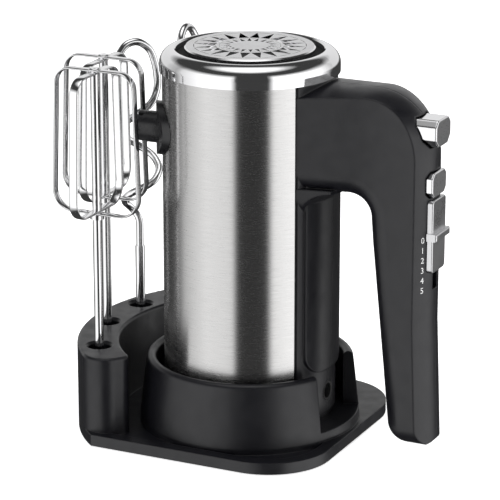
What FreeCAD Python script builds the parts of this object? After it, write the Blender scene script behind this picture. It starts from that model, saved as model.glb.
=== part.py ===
"""Hand mixer standing nose-up in its storage stand, with two beaters and two dough hooks.

Millimetres. The origin is on the surface the stand rests on, below the mixer's axis. +Z is up and along the
mixer's axis to its nose, +X points from the body to the grip, and the beater sockets point to -X.
"""
import FreeCAD, Part
import math
import os

V = FreeCAD.Vector
X_AXIS = V(1, 0, 0)
Y_AXIS = V(0, 1, 0)
Z_AXIS = V(0, 0, 1)

# Mixer body
BODY_R = 44.6                # outside of the steel sleeve and of the black spine
SLEEVE_T = 0.9
CORE_R = BODY_R - SLEEVE_T - 0.1
WALL = 2.3
CAVITY_R = CORE_R - WALL
BODY_BOTTOM = 12.0
CORE_BOTTOM = 14.6
BODY_TOP = 191.4
SLEEVE_GAP_DEG = 34.3        # half angle that the sleeve leaves open around the spine
SPINE_DEG = 32.3             # half angle of the flush black spine
TONGUE_DEG = 27.0
TONGUE_R = 46.4
TONGUE_BOTTOM = 39.5

# Arm and grip
ARM_HALF = 15.5
ARM_TOP = 190.0
ARM_UNDER = 137.2
ARM_START = 24.0                # the arm's sections start inside the body
TAPER_END = 80.0                # the arm tapers to the grip's width by here
TAPER_BLEND = 13.0
GRIP_OUT = 102.8             # outer face of the grip
SHOULDER_R = 33.5
GRIP_IN = 71.2                  # inner face of the grip below the arm
GRIP_INNER_R = 10.0
GRIP_CROWN = 6.0             # how far the outer face falls from its middle to its edges
TOP_CROWN = 1.8
CROWN_MARGIN = 0.5              # flat outer side that the crown trims away everywhere
LEAN_START = 72.0            # below this height the grip leans outwards
TOE_BOTTOM = 8.5
TOE_OUT = V(105.2, 0, TOE_BOTTOM + 3.1)
TOE_HEEL_R = 11.3
TOE_END = 100.5                 # the flat under the toe runs out to here
INNER_CORNER_R = 12.0
SPINE_FILLET_R = 13.0

# Controls on the grip
EJECT_Z = 170.9
TURBO_Z = 144.7
SLIDER_Z = 118.3
SLIDER_HALF = 8.6
SLIDER_LENGTH = 37.6
BUTTON_GAP = 0.6

# Drive
SOCKET_Y = 22.0              # spindles stand this far each side of the motor axis
SOCKET_Z = 162.0
WHEEL_TEETH = 26
WORM_STARTS = 2
WHEEL_PITCH_R = 16.5
WORM_PITCH_R = SOCKET_Y - WHEEL_PITCH_R
MODULE = 2 * WHEEL_PITCH_R / WHEEL_TEETH
LEAD = WORM_STARTS * math.pi * MODULE
SHAFT_R = 3.0
RUNNING_FIT = 0.05
SPINDLE_R = 5.0
SPINDLE_END = -47.5
BEATER_BORE_R = 2.5
BEATER_BORE_END = -22.0
COLLAR_FACE_R = 47.6            # saddle flange of the socket collars, about the body's axis
COLLAR_END = -51.0

# Motor
STATOR_HALF = 29.0
STATOR_BOTTOM = 72.0
STATOR_TOP = 104.0
BRACKET_REAR = 47.0
BRACKET_FRONT = 126.0
BOLT_AT = 20.0

# Stand
FOOT_H = 0.8
PLATE_TOP = 6.8
TRENCH_Z = 5.0
BORDER = 6.6
SKIN = 2.2
PLATE_RIGHT = 59.3
PLATE_FRONT = -65.0
PLATE_BACK = 70.0
PLATE_CORNER_R = 34.0
CUP_FOOT_R = 57.5
CUP_RIM_R = 54.0
CUP_IN_R = 48.5
CUP_TOP = 41.0
CUP_CUT_DEG = 25.0
RACK_C = V(2, 8, 0)
RACK_IN_R = 73.5
RACK_OUT_R = 95.5
RACK_TOP = 47.0
RACK_FRONT_DEG = 231.5
RACK_BACK_DEG = 130.0
HOLE_R = 6.0
HOLE_CIRCLE_R = 84.5
HOLE_DEGS = (215.4, 189.0, 165.5, 141.5)
COVER_TOP = FOOT_H + 1.8

# Beaters and hooks
INLET_Z = 26.2
CAGE_HALF = 24.8                # at the foot, where the loops are widest
CAGE_TAPER = 2.0
CAGE_H = 76.0
STRIP_W = 5.0
STRIP_T = 1.2
BEATER_SHAFT_R = 2.4
HOOK_WIRE_R = 2.0
HOOK_SHAFT_R = 2.6


def box(x0, x1, y0, y1, z0, z1):
    return Part.makeBox(x1 - x0, y1 - y0, z1 - z0, V(x0, y0, z0))


def cyl(r, z0, z1, x=0.0, y=0.0):
    return Part.makeCylinder(r, z1 - z0, V(x, y, z0), Z_AXIS)


def cyl_x(r, x0, x1, y, z):
    return Part.makeCylinder(r, x1 - x0, V(x0, y, z), X_AXIS)


def cyl_y(r, y0, y1, x, z):
    return Part.makeCylinder(r, y1 - y0, V(x, y0, z), Y_AXIS)


def ring(r_out, r_in, z0, z1, x=0.0, y=0.0):
    return cyl(r_out, z0, z1, x, y).cut(cyl(r_in, z0 - 1, z1 + 1, x, y))


def polygon(points):
    return Part.Face(Part.makePolygon(list(points) + [points[0]]))


def face_of(edges):
    return Part.Face(Part.Wire(edges))


def line(a, b):
    return Part.LineSegment(a, b).toShape()


def arc(a, mid, b):
    return Part.Arc(a, mid, b).toShape()


def fuse(shapes):
    return shapes[0].multiFuse(shapes[1:]).removeSplitter()


def polar(r, deg, z=0.0, centre=V(0, 0, 0)):
    return centre + V(r * math.cos(math.radians(deg)), r * math.sin(math.radians(deg)), z)


def sector(r, half_deg, z0, z1):
    """Pie slice of a cylinder about +X."""
    body = Part.makeCylinder(r, z1 - z0, V(0, 0, z0), Z_AXIS, 2 * half_deg)
    body.rotate(V(0, 0, 0), Z_AXIS, -half_deg)
    return body


def turned(shape, deg, centre=V(0, 0, 0), axis=Z_AXIS):
    copy = shape.copy()
    copy.rotate(centre, axis, deg)
    return copy


def edges_where(shape, test):
    return [edge for edge in shape.Edges if test(edge)]


def write(node, shape):
    solids = shape.Solids
    if not solids:
        raise ValueError(node + " has no solid")
    shape = solids[0] if len(solids) == 1 else Part.Compound(solids)
    if not shape.isValid():
        raise ValueError(node + " is not valid")
    shape.exportStep("parts/" + node + ".step")
    print(node, len(solids), round(shape.Volume, 1))


# ---------------------------------------------------------------- housing

def grip_profile(excess=0.0):
    """Side view of the arm and grip in the XZ plane, starting inside the body; excess thickens its outer side."""
    shoulder = V(GRIP_OUT - SHOULDER_R, 0, ARM_TOP - SHOULDER_R)
    shoulder_r = SHOULDER_R + excess
    start_top = V(ARM_START, 0, ARM_TOP + excess)
    start_under = V(ARM_START, 0, ARM_UNDER)
    top_end = shoulder + V(0, 0, shoulder_r)
    shoulder_mid = shoulder + V(shoulder_r, 0, shoulder_r) * math.sqrt(0.5)
    shoulder_end = shoulder + V(shoulder_r, 0, 0)
    lean_start = V(GRIP_OUT + excess, 0, LEAN_START)
    toe_out = TOE_OUT + V(excess, 0, 0)
    toe_bevel = V(TOE_OUT.x - 1.0 + excess, 0, TOE_BOTTOM + 1.1)
    toe_low = V(TOE_END, 0, TOE_BOTTOM)
    corner_a = V(GRIP_IN, 0, ARM_UNDER - INNER_CORNER_R)
    corner_b = V(GRIP_IN - INNER_CORNER_R, 0, ARM_UNDER)
    corner_centre = V(corner_b.x, 0, corner_a.z)
    corner_mid = corner_centre + V(INNER_CORNER_R, 0, INNER_CORNER_R) * math.sqrt(0.5)
    inner_top = V(72.2, 0, 112)
    inner_run = (V(81.2, 0, 21.3) - inner_top).normalize()
    across = V(-inner_run.z, 0, inner_run.x)
    drop = TOE_BOTTOM + TOE_HEEL_R - inner_top.z - across.z * TOE_HEEL_R
    heel_a = inner_top + inner_run * (drop / inner_run.z)
    heel_centre = heel_a + across * TOE_HEEL_R
    heel_b = V(heel_centre.x, 0, TOE_BOTTOM)
    heel_mid = heel_centre - (across + Z_AXIS).normalize() * TOE_HEEL_R
    return face_of([
        line(start_top, top_end),
        arc(top_end, shoulder_mid, shoulder_end),
        line(shoulder_end, lean_start),
        line(lean_start, toe_out),
        line(toe_out, toe_bevel),
        line(toe_bevel, toe_low),
        line(toe_low, heel_b),
        arc(heel_b, heel_mid, heel_a),
        line(heel_a, inner_top),
        line(inner_top, corner_a),
        arc(corner_a, corner_mid, corner_b),
        line(corner_b, start_under),
        line(start_under, start_top),
    ])


def arm_plan():
    """Top view of the arm and grip: it tapers from the sleeve's open edges to the grip's width."""
    root_x = BODY_R * math.cos(math.radians(SPINE_DEG))
    root_half = BODY_R * math.sin(math.radians(SPINE_DEG))
    slope = math.atan((root_half - ARM_HALF) / (TAPER_END - root_x))
    blend_r = TAPER_BLEND / math.tan(slope / 2)
    start = V(ARM_START, -(root_half + (root_x - ARM_START) * math.tan(slope)), 0)
    blend_a = V(TAPER_END - TAPER_BLEND * math.cos(slope), -(ARM_HALF + TAPER_BLEND * math.sin(slope)), 0)
    blend_b = V(TAPER_END + TAPER_BLEND, -ARM_HALF, 0)
    blend_centre = blend_b - V(0, blend_r, 0)
    blend_mid = blend_centre + V(-math.sin(slope / 2), math.cos(slope / 2), 0) * blend_r
    end = V(120, -ARM_HALF, 0)

    def far(point):
        return V(point.x, -point.y, 0)

    return face_of([
        line(start, blend_a),
        arc(blend_a, blend_mid, blend_b),
        line(blend_b, end),
        line(end, far(end)),
        line(far(end), far(blend_b)),
        arc(far(blend_b), far(blend_mid), far(blend_a)),
        line(far(blend_a), far(start)),
        line(far(start), start),
    ])


def extrude_y(face, half):
    solid = face.extrude(V(0, 2 * half, 0))
    solid.translate(V(0, -half, 0))
    return solid


def crown_r(fall):
    """Radius of an arc across the full width that falls this far at its ends."""
    return (ARM_HALF ** 2 + fall ** 2) / (2 * fall)


def crown_section(foot, outwards, reach, depth, fall, half):
    """Outline across the arm: a crowned outer side, reach from foot, and a flat back at depth from foot."""
    r = crown_r(fall)
    side = r - math.sqrt(r * r - half * half)
    back = foot + outwards * depth
    tip = foot + outwards * reach
    edge = foot + outwards * (reach - side)
    y = V(0, half, 0)
    return Part.Wire([arc(edge - y, tip, edge + y), line(edge + y, back + y), line(back + y, back - y),
                      line(back - y, edge - y)])


def crowned_envelope():
    """Everything under the crowned top, shoulder and outer face."""
    half = ARM_HALF + 4
    shoulder = V(GRIP_OUT - SHOULDER_R, 0, ARM_TOP - SHOULDER_R)
    top = Part.Face(crown_section(shoulder, Z_AXIS, SHOULDER_R, -40, TOP_CROWN, 28))
    grip = Part.Face(crown_section(shoulder, X_AXIS, SHOULDER_R, -40, GRIP_CROWN, half))
    drop = grip.copy()
    drop.translate(V(0, 0, LEAN_START - shoulder.z))
    lean = (TOE_OUT - V(GRIP_OUT, 0, LEAN_START)) * (LEAN_START / (LEAN_START - TOE_OUT.z))
    steps = 4
    sections = []
    for i in range(steps + 1):
        angle = math.pi / 2 * i / steps
        outwards = V(math.sin(angle), 0, math.cos(angle))
        fall = TOP_CROWN + (GRIP_CROWN - TOP_CROWN) * math.sin(angle) ** 2
        sections.append(crown_section(shoulder, outwards, SHOULDER_R, 12, fall, half))
    pieces = [
        top.extrude(V(-60, 0, 0)),
        grip.extrude(V(0, 0, LEAN_START - shoulder.z)),
        drop.extrude(lean),
        Part.makeLoft(sections, True, False),
        box(shoulder.x - 1, shoulder.x + 16, -half, half, shoulder.z - 1, shoulder.z + 16),
    ]
    return pieces[0].multiFuse(pieces[1:])


def on_inner_side(edge):
    """Long edges between the arm's sides and its underside, the grip's inner face and the toe."""
    bounds = edge.BoundBox
    return (bounds.YLength < 14 and abs(edge.CenterOfMass.y) > ARM_HALF - 0.5 and bounds.XMax > ARM_START + 0.1
            and bounds.ZMax < ARM_UNDER + 0.1 and bounds.XMax < TOE_END + 0.2)


def arm_solid():
    """The crowned arm and grip, well rounded along the inner side."""
    solid = extrude_y(grip_profile(CROWN_MARGIN), 40).common(arm_plan().extrude(V(0, 0, 220)))
    solid = solid.makeFillet(GRIP_INNER_R, edges_where(solid, on_inner_side))
    return solid.common(crowned_envelope())


def arm_cavity():
    """Hollow in the arm and grip: a tall middle slot and a lower wide one that clear the rounded edges."""
    inner = grip_profile().makeOffset2D(-WALL)
    pieces = []
    for half, out_x, out_z, in_shift in ((8.6, 1.7, 1.2, 0.8), (ARM_HALF - WALL, 3.9, 2.6, 5.0)):
        hollow = inner
        for shift in (V(-out_x, 0, -out_z), V(in_shift, 0, in_shift)):
            moved = inner.copy()
            moved.translate(shift)
            hollow = hollow.common(moved).Faces[0]
        pieces.append(extrude_y(hollow, half))
    return fuse(pieces)


def root_fillet(arm):
    """Hollow curve that carries the arm's rounded underside down into the spine."""
    foot_r = BODY_R + 0.1
    centre = V(foot_r + SPINE_FILLET_R, 0, ARM_UNDER - SPINE_FILLET_R)
    low = V(foot_r, 0, centre.z)
    mid = centre + V(-SPINE_FILLET_R, 0, SPINE_FILLET_R) * math.sqrt(0.5)
    high = V(centre.x, 0, ARM_UNDER)
    section = face_of([
        line(V(CORE_R - 1, 0, centre.z), low),
        arc(low, mid, high),
        line(high, V(centre.x, 0, ARM_UNDER + 2)),
        line(V(centre.x, 0, ARM_UNDER + 2), V(CORE_R - 1, 0, ARM_UNDER + 2)),
        line(V(CORE_R - 1, 0, ARM_UNDER + 2), V(CORE_R - 1, 0, centre.z)),
    ])
    section.rotate(V(0, 0, 0), Z_AXIS, -40)
    swept = section.revolve(V(0, 0, 0), Z_AXIS, 80)
    lowered = arm.copy()
    lowered.translate(V(0, 0, -SPINE_FILLET_R))
    return swept.common(lowered)


def tongue():
    """Raised strip down the spine, with rounded lower corners."""
    solid = sector(TONGUE_R, TONGUE_DEG, TONGUE_BOTTOM, ARM_UNDER + 5)
    half = TONGUE_R * math.sin(math.radians(TONGUE_DEG))
    outline = box(20, 60, -half, half, TONGUE_BOTTOM, ARM_UNDER + 5)
    corners = edges_where(outline, lambda e: e.BoundBox.XLength > 30 and e.BoundBox.ZMax < TONGUE_BOTTOM + 1)
    return solid.common(outline.makeFillet(12, corners))


BOSSES = [  # x, z, reach of the screw's head seat from the joint plane
    (34, 26, 17.0),
    (34, 122, 17.0),
    (-34, 26, 17.0),
    (-34, 122, 17.0),
    (60, 152, 10.5),
    (91.0, 66, 10.5),
    (93.0, 30, 10.5),
]
BOSS_R = 4.6
SCREW_R = 1.2
SCREW_HEAD_R = 2.8
SCREW_HEAD_H = 1.8


def control_cuts():
    """Openings for the two buttons and the slider's stem."""
    return [
        button_prism(eject_outline(BUTTON_GAP), 86, 115),
        button_prism(turbo_outline(BUTTON_GAP), 96, 115),
        box(90, 115, -3.0, 3.0, 90, SLIDER_Z + 16),
    ]


def housing():
    """The whole moulded body: core tube, spine, tongue, arm and grip, hollow inside."""
    core = cyl(CORE_R, CORE_BOTTOM, BODY_TOP)
    spine = sector(BODY_R, SPINE_DEG, CORE_BOTTOM, BODY_TOP)
    cavity = arm_cavity()
    whole_arm = arm_solid()
    arm = whole_arm.cut(cavity)
    for cutter in control_cuts():
        arm = arm.cut(cutter)
    body = core.multiFuse([spine, tongue(), root_fillet(whole_arm)])
    body = body.cut(cavity)
    bore = cyl(CAVITY_R, CORE_BOTTOM - 1, BODY_TOP + 1)
    shell = body.fuse(arm.cut(cyl(CORE_R - 1, 100, 200))).cut(bore)
    for x, z, seat in BOSSES:
        reach = ARM_HALF - 1 if x > 50 else CORE_R - 2
        boss = cyl_y(BOSS_R, -reach, reach, x, z)
        if x < 50:
            boss = boss.common(cyl(CORE_R - 1, 0, 200))
        shell = shell.fuse(boss)
    cuts = [cyl_x(5.3, 30, 60, 0, INLET_Z)]
    for x, z, seat in BOSSES:
        cuts.append(cyl_y(SCREW_R + 0.3, -seat + 4, seat, x, z))
        cuts.append(cyl_y(SCREW_HEAD_R + 0.3, seat, CORE_R + 5, x, z))
    for side in (-1, 1):
        cuts.append(cyl_x(8.2, -60, -30, side * SOCKET_Y, SOCKET_Z))
    for cutter in cuts:
        shell = shell.cut(cutter)
    return shell


def write_housing():
    whole = housing()
    write("housing_left", whole.common(box(-60, 120, -60, 0, 0, 200)))
    write("housing_right", whole.common(box(-60, 120, 0, 60, 0, 200)))
    screws = []
    for x, z, seat in BOSSES:
        shank = cyl_y(SCREW_R, -seat + 5, seat, x, z)
        head = cyl_y(SCREW_HEAD_R, seat, seat + SCREW_HEAD_H, x, z)
        slot = box(x - 2, x + 2, seat + 1, seat + 3, z - 0.4, z + 0.4)
        screws.append(shank.fuse(head).cut(slot).cut(turned(slot, 90, V(x, 0, z), Y_AXIS)))
    write("housing_screws", Part.Compound(screws))


def write_sleeve():
    tube = ring(BODY_R, BODY_R - SLEEVE_T, BODY_BOTTOM + 1, BODY_TOP)
    tube = tube.cut(sector(BODY_R + 5, SLEEVE_GAP_DEG, 0, 210))
    for side in (-1, 1):
        tube = tube.cut(cyl_x(8.4, -60, -30, side * SOCKET_Y, SOCKET_Z))
    write("steel_sleeve", tube)


def revolve(edges):
    return face_of(edges).revolve(V(0, 0, 0), Z_AXIS, 360)


def write_nose():
    lip = 37.7
    bend = 7.5
    skin = 1.5
    bottom = BODY_TOP + 0.2
    top = 203.0
    outer = 45.9
    bend_z = top - bend
    inner = bend - skin
    centre = outer - bend
    ring_shape = revolve([
        line(V(outer, 0, bottom), V(outer, 0, bend_z)),
        arc(V(outer, 0, bend_z), V(centre + bend * 0.7071, 0, bend_z + bend * 0.7071), V(centre, 0, top)),
        line(V(centre, 0, top), V(lip, 0, top - 0.7)),
        line(V(lip, 0, top - 0.7), V(lip, 0, top - 3.0)),
        line(V(lip, 0, top - 3.0), V(centre, 0, top - 3.0)),
        line(V(centre, 0, top - 3.0), V(centre, 0, top - skin)),
        arc(V(centre, 0, top - skin), V(centre + inner * 0.7071, 0, bend_z + inner * 0.7071),
            V(outer - skin, 0, bend_z)),
        line(V(outer - skin, 0, bend_z), V(outer - skin, 0, bottom)),
        line(V(outer - skin, 0, bottom), V(outer, 0, bottom)),
    ])
    write("nose_ring", ring_shape)

    plate = fuse([
        cyl(lip - 0.2, bottom + 2, 199.8),
        cyl(outer - skin - 0.2, bottom, bottom + 2.2),
        ring(CAVITY_R - 0.1, CAVITY_R - 2.5, BODY_TOP - 5, bottom + 0.1),
    ])
    plate = plate.cut(cyl(30, BODY_TOP - 6, 197.5))
    write("nose_plate", plate)

    rim_r = 33.2
    field_r = 30.0
    medallion = cyl(rim_r, 199.8, 204.0).cut(ring(field_r, 11.0, 203.0, 205.0))
    write("nose_medallion", medallion)


def write_rear_cap():
    cap = cyl(CORE_R - 0.2, BODY_BOTTOM, CORE_BOTTOM - 0.1)
    cap = cap.fuse(ring(CAVITY_R - 0.1, CAVITY_R - 2.0, CORE_BOTTOM - 0.2, CORE_BOTTOM + 3))
    slot = box(14, 34, -1.2, 1.2, 10, 16)
    for i in range(12):
        cap = cap.cut(turned(slot, 30 * i + 15))
    write("rear_cap", cap)


def write_cord_gland():
    barrel = cyl_x(5.2, CAVITY_R - 1, TONGUE_R - 2, 0, INLET_Z)
    flange = cyl_x(7.0, CAVITY_R - 2.5, CAVITY_R - 1, 0, INLET_Z)
    bore = cyl_x(4.0, 30, 60, 0, INLET_Z)
    flat = cyl(CAVITY_R - 0.2, 10, 60)
    write("cord_gland", barrel.fuse(flange.common(flat)).cut(bore))


# ---------------------------------------------------------------- controls

def eject_outline(grow=0.0):
    half = 9.6 + grow
    low = EJECT_Z - 6.9 - grow
    high = EJECT_Z + 6.9 + grow
    return [(-half, low + 4), (-half, high - 3.2), (-half + 3, high), (half - 3, high),
            (half, high - 3.2), (half, low + 4), (half - 3.8, low), (-half + 3.8, low)]


def turbo_outline(grow=0.0):
    half = 9.2 + grow
    low = TURBO_Z - 6.2 - grow
    high = TURBO_Z + 6.2 + grow
    return [(-half, low + 2.6), (-half, high - 2.6), (-half + 2.6, high), (half - 2.6, high),
            (half, high - 2.6), (half, low + 2.6), (half - 2.6, low), (-half + 2.6, low)]


def button_prism(outline, x0, x1):
    return polygon([V(x0, y, z) for y, z in outline]).extrude(V(x1 - x0, 0, 0))


def rounded_button(outline, x0, x1, side_r, face_r):
    solid = button_prism(outline, x0, x1)
    solid = solid.makeFillet(side_r, edges_where(solid, lambda e: e.BoundBox.XLength > x1 - x0 - 0.1))
    return solid.makeFillet(face_r, edges_where(solid, lambda e: e.BoundBox.XMin > x1 - 0.01))


def write_eject():
    button = rounded_button(eject_outline(), 92, 105.6, 1.8, 0.9)
    write("eject_button", button)
    write("eject_rod", fuse([cyl_x(2.2, 31.0, 92.0, 0, EJECT_Z), cyl_x(4.6, 88.0, 90.0, 0, EJECT_Z)]))
    bar = box(28.5, 31.0, -24.5, 24.5, 158, 166)
    upright = box(28.5, 31.0, -4, 4, 160, EJECT_Z + 4)
    pins = [cyl_x(1.7, 8.0, 28.5, side * SOCKET_Y, SOCKET_Z) for side in (-1, 1)]
    write("ejector_yoke", fuse([bar, upright] + pins))
    guide = box(58, 61, -13.1, 13.1, 164, 177).cut(cyl_x(2.5, 50, 70, 0, EJECT_Z))
    write("eject_rod_guide", guide)
    write("eject_spring", spring(3.4, 0.5, 61.2, 87.8, 0, EJECT_Z, 7))


def spring(r, wire_r, x0, x1, y, z, turns):
    """Coil spring along X."""
    length = x1 - x0 - 2 * wire_r
    helix = Part.makeHelix(length / turns, length, r)
    profile = Part.Wire(Part.makeCircle(wire_r, V(r, 0, 0), Y_AXIS))
    coil = Part.Wire(helix).makePipeShell([profile], True, True)
    coil.rotate(V(0, 0, 0), Y_AXIS, 90)
    coil.translate(V(x0 + wire_r, y, z))
    return coil


def write_turbo():
    button = rounded_button(turbo_outline(), 97.0, 104.0, 1.4, 0.8)
    plunger = cyl_x(2.0, 93.5, 97.2, 0, TURBO_Z)
    write("turbo_button", button.fuse(plunger))
    switch = box(82.5, 91.0, -7, 7, TURBO_Z - 6, TURBO_Z + 6)
    write("turbo_switch", switch)


def write_slider():
    half_z = SLIDER_LENGTH / 2
    crown_x = GRIP_OUT - crown_r(GRIP_CROWN)
    track = box(97.9, 98.8, -8, 8, 86, SLIDER_Z + 19.8)
    track = track.cut(box(90, 115, -2.8, 2.8, 89, SLIDER_Z + 17))
    write("slider_track", track)
    plate = box(101.2, 104.3, -SLIDER_HALF, SLIDER_HALF, SLIDER_Z - half_z, SLIDER_Z + half_z)
    plate = plate.makeFillet(2.2, edges_where(plate, lambda e: e.BoundBox.XLength > 2))
    plate = plate.makeFillet(0.7, edges_where(plate, lambda e: e.BoundBox.XMin > 104.2))
    rib = box(101.2, 106.6, -SLIDER_HALF - 0.6, SLIDER_HALF + 0.6, SLIDER_Z - 1.8, SLIDER_Z + 2.0)
    rib = rib.makeFillet(0.9, edges_where(rib, lambda e: e.BoundBox.XMin > 106.5))
    plate = fuse([plate, rib]).cut(cyl(crown_r(GRIP_CROWN) + 0.3, 0, 200, crown_x, 0))
    stem = box(97.6, 103.4, -2.0, 2.0, SLIDER_Z + 3, SLIDER_Z + 13)
    write("speed_slider", fuse([plate, stem]))
    carriage = box(94.6, 97.6, -6, 6, SLIDER_Z + 1, SLIDER_Z + 15)
    write("contact_carriage", carriage)
    board = box(92.8, 94.3, -11, 11, 82, SLIDER_Z + 16)
    write("contact_board", board)
    switch = box(84.5, 92.6, -9, 9, 86, 126)
    write("speed_switch", switch)


# ---------------------------------------------------------------- drive

def write_collars():
    saddle = ring(COLLAR_FACE_R, BODY_R + 0.15, 140, 185)
    for name, side in (("left", -1), ("right", 1)):
        y = side * SOCKET_Y
        flange = saddle.common(cyl_x(13.6, -60, -20, y, SOCKET_Z))
        neck = cyl_x(8.0, -46, -36, y, SOCKET_Z).cut(cyl(CAVITY_R - 1, 100, 200))
        tube = cyl_x(7.8, COLLAR_END, -42, y, SOCKET_Z)
        collar = fuse([flange, neck, tube]).cut(cyl_x(SPINDLE_R + 0.4, -60, -20, y, SOCKET_Z))
        notch = box(COLLAR_END - 1, -47.6, y - 1.0, y + 1.0, SOCKET_Z + 6.4, SOCKET_Z + 9)
        for i in range(6):
            collar = collar.cut(turned(notch, 60 * i + 30, V(0, y, SOCKET_Z), X_AXIS))
        write("socket_collar_" + name, collar)


def write_spindles():
    for name, side in (("left", -1), ("right", 1)):
        y = side * SOCKET_Y
        spindle = cyl_x(SPINDLE_R, SPINDLE_END, 23.0, y, SOCKET_Z)
        spindle = spindle.cut(cyl_x(BEATER_BORE_R, SPINDLE_END - 1, BEATER_BORE_END, y, SOCKET_Z))
        spindle = spindle.cut(cyl_x(1.9, -30, 24, y, SOCKET_Z))
        write("spindle_" + name, spindle)
        write("worm_wheel_" + name, worm_wheel(side, y))


def worm_wheel(side, y):
    """Wheel about X whose teeth lean by the worm's lead angle; one gap faces the worm at rest."""
    half_w = 3.5
    root_r = WHEEL_PITCH_R - 1.15 * MODULE
    tip_r = WHEEL_PITCH_R + 0.85 * MODULE
    centre = V(0, y, SOCKET_Z)
    hub = cyl_x(root_r, -half_w, half_w, y, SOCKET_Z)
    lead_deg = math.degrees(math.atan(LEAD / (2 * math.pi * WORM_PITCH_R)))
    base = MODULE * 0.85
    tip = MODULE * 0.42
    profile = polygon([
        V(-half_w, root_r - 0.4, -base),
        V(-half_w, tip_r, -tip),
        V(-half_w, tip_r, tip),
        V(-half_w, root_r - 0.4, base),
    ])
    tooth = profile.extrude(V(2 * half_w, 0, 0))
    tooth.rotate(V(0, 0, 0), Y_AXIS, -lead_deg)
    tooth.translate(centre)
    pitch_deg = 360.0 / WHEEL_TEETH
    to_worm = 0 if side < 0 else 180
    teeth = []
    for i in range(WHEEL_TEETH):
        teeth.append(turned(tooth, to_worm + (i + 0.5) * pitch_deg, centre, X_AXIS))
    rim = cyl_x(tip_r + 1, -half_w, half_w, y, SOCKET_Z)
    wheel = hub.multiFuse(teeth).common(rim)
    return wheel.cut(cyl_x(SPINDLE_R, -20, 20, y, SOCKET_Z))


def write_worm():
    z0 = SOCKET_Z - 13
    z1 = SOCKET_Z + 13
    root_r = WORM_PITCH_R - 0.95 * MODULE
    tip_r = WORM_PITCH_R + 0.80 * MODULE
    core = cyl(root_r, z0, z1)
    length = z1 - z0 - 4
    base = MODULE * 0.80
    tip = MODULE * 0.38
    threads = []
    for start in range(WORM_STARTS):
        helix = Part.makeHelix(LEAD, length, WORM_PITCH_R)
        profile = Part.makePolygon([
            V(root_r - 0.3, 0, -base),
            V(tip_r, 0, -tip),
            V(tip_r, 0, tip),
            V(root_r - 0.3, 0, base),
            V(root_r - 0.3, 0, -base),
        ])
        thread = Part.Wire(helix).makePipeShell([profile], True, True)
        # a thread crest crosses the wheel axis height on the +Y side, and the other start on the -Y side
        thread.translate(V(0, 0, z0 + 2))
        at_height = (SOCKET_Z - z0 - 2) / LEAD * 360
        threads.append(turned(thread, 90 - at_height + 360 / WORM_STARTS * start))
    worm = core.multiFuse(threads).cut(cyl(SHAFT_R, z0 - 1, z1 + 1))
    write("worm", worm)


def write_gearbox():
    wall_in = 17.0
    wall_out = 22.0
    floor_z = 135.0
    cover_z = 180.6
    clip = cyl(CAVITY_R - 0.4, 120, 190)
    frame = box(-wall_out, wall_out, -45, 45, floor_z, cover_z).common(clip)
    frame = frame.cut(box(-wall_in, wall_in, -50, 50, floor_z + 3, cover_z + 1))
    frame = frame.cut(cyl(8, floor_z - 1, floor_z + 4))
    bushes = []
    for side in (-1, 1):
        y = side * SOCKET_Y
        frame = frame.cut(cyl_x(7.5, -30, 30, y, SOCKET_Z))
        for x0 in (-wall_out, wall_in):
            bush = cyl_x(7.5, x0, x0 + 5, y, SOCKET_Z)
            bushes.append(bush.cut(cyl_x(SPINDLE_R + RUNNING_FIT, -40, 40, y, SOCKET_Z)))
    write("gear_frame", frame)
    write("spindle_bushes", Part.Compound(bushes))
    cover = box(-wall_out, wall_out, -45, 45, cover_z, cover_z + 2.5).common(clip)
    cover = cover.fuse(cyl(7, cover_z, cover_z + 6)).cut(cyl(SHAFT_R + RUNNING_FIT, 170, 200))
    write("gear_cover", cover)


# ---------------------------------------------------------------- motor

def write_motor():
    shaft_bottom = BRACKET_REAR - 5
    write("motor_shaft", cyl(SHAFT_R, shaft_bottom, 186))

    core = ring(16.8, SHAFT_R, STATOR_BOTTOM, STATOR_TOP)
    slot = box(11.5, 18, -0.9, 0.9, STATOR_BOTTOM - 1, STATOR_TOP + 1)
    for i in range(12):
        core = core.cut(turned(slot, 30 * i))
    write("armature_core", core)
    ends = [ring(14.5, SHAFT_R, STATOR_BOTTOM - 5, STATOR_BOTTOM),
            ring(14.5, SHAFT_R, STATOR_TOP, STATOR_TOP + 5)]
    write("armature_windings", Part.Compound(ends))

    commutator = ring(9.0, SHAFT_R, 52.5, 66.5)
    cut = box(7.8, 10, -0.25, 0.25, 52, 64)
    for i in range(24):
        commutator = commutator.cut(turned(cut, 15 * i))
    write("commutator", commutator)

    fan = ring(22.0, SHAFT_R, 112, 113.5).fuse(ring(6.0, SHAFT_R, 112, 122))
    blade = box(8, 21.5, -0.6, 0.6, 113, 121)
    fan = fan.multiFuse([turned(blade, 36 * i) for i in range(10)])
    write("cooling_fan", fan)

    stator = box(-STATOR_HALF, STATOR_HALF, -STATOR_HALF, STATOR_HALF, STATOR_BOTTOM, STATOR_TOP)
    stator = stator.makeFillet(12, edges_where(stator, lambda e: e.BoundBox.ZLength > 20))
    stator = stator.cut(cyl(17.4, STATOR_BOTTOM - 1, STATOR_TOP + 1))
    pocket = sector(24.3, 52.0, STATOR_BOTTOM - 1, STATOR_TOP + 1)
    coils = []
    for turn in (90, 270):
        stator = stator.cut(turned(pocket, turn))
        coil = sector(24.0, 50.0, STATOR_BOTTOM - 6, STATOR_TOP + 6).cut(cyl(18.5, 50, 120))
        coils.append(turned(coil, turn))
    for sign in (-1, 1):
        stator = stator.cut(cyl(2.1, STATOR_BOTTOM - 1, STATOR_TOP + 1, sign * BOLT_AT, sign * BOLT_AT))
    write("motor_stator", stator)
    write("field_coils", Part.Compound(coils))


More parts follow.
